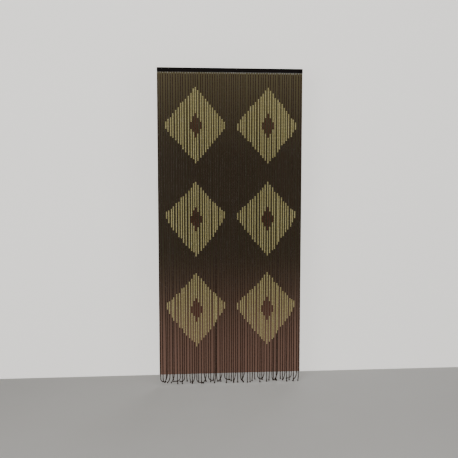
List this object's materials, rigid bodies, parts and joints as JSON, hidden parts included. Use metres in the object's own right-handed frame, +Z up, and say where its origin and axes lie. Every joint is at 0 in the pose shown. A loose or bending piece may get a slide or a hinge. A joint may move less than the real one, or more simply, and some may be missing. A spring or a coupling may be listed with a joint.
{
  "type": "beaded door curtain with rail",
  "caption": "String curtain of small wooden beads for a doorway, with natural diamonds with red-brown middles on a dark ground, hanging from a straight dark wooden rail.",
  "frame": {"origin": "middle of the rail's top face", "axes": "+Z up, the curtain hangs along -Z, +X along the rail to the viewer's right, the front faces -Y"},
  "size_m": [0.9, 0.042, 1.9838],
  "materials": {
    "rail_wood": "near-black brown stain, satin",
    "dark_beads": "dark brown stain, satin",
    "natural_beads": "natural, lightly polished",
    "red_beads": "red-brown stain, satin",
    "eye_metal": "zinc plated wire",
    "cord": "dark twisted string"
  },
  "bodies": {
    "root": {"rail": "rail_wood", "strands": "dark_beads"}
  },
  "joints": []
}
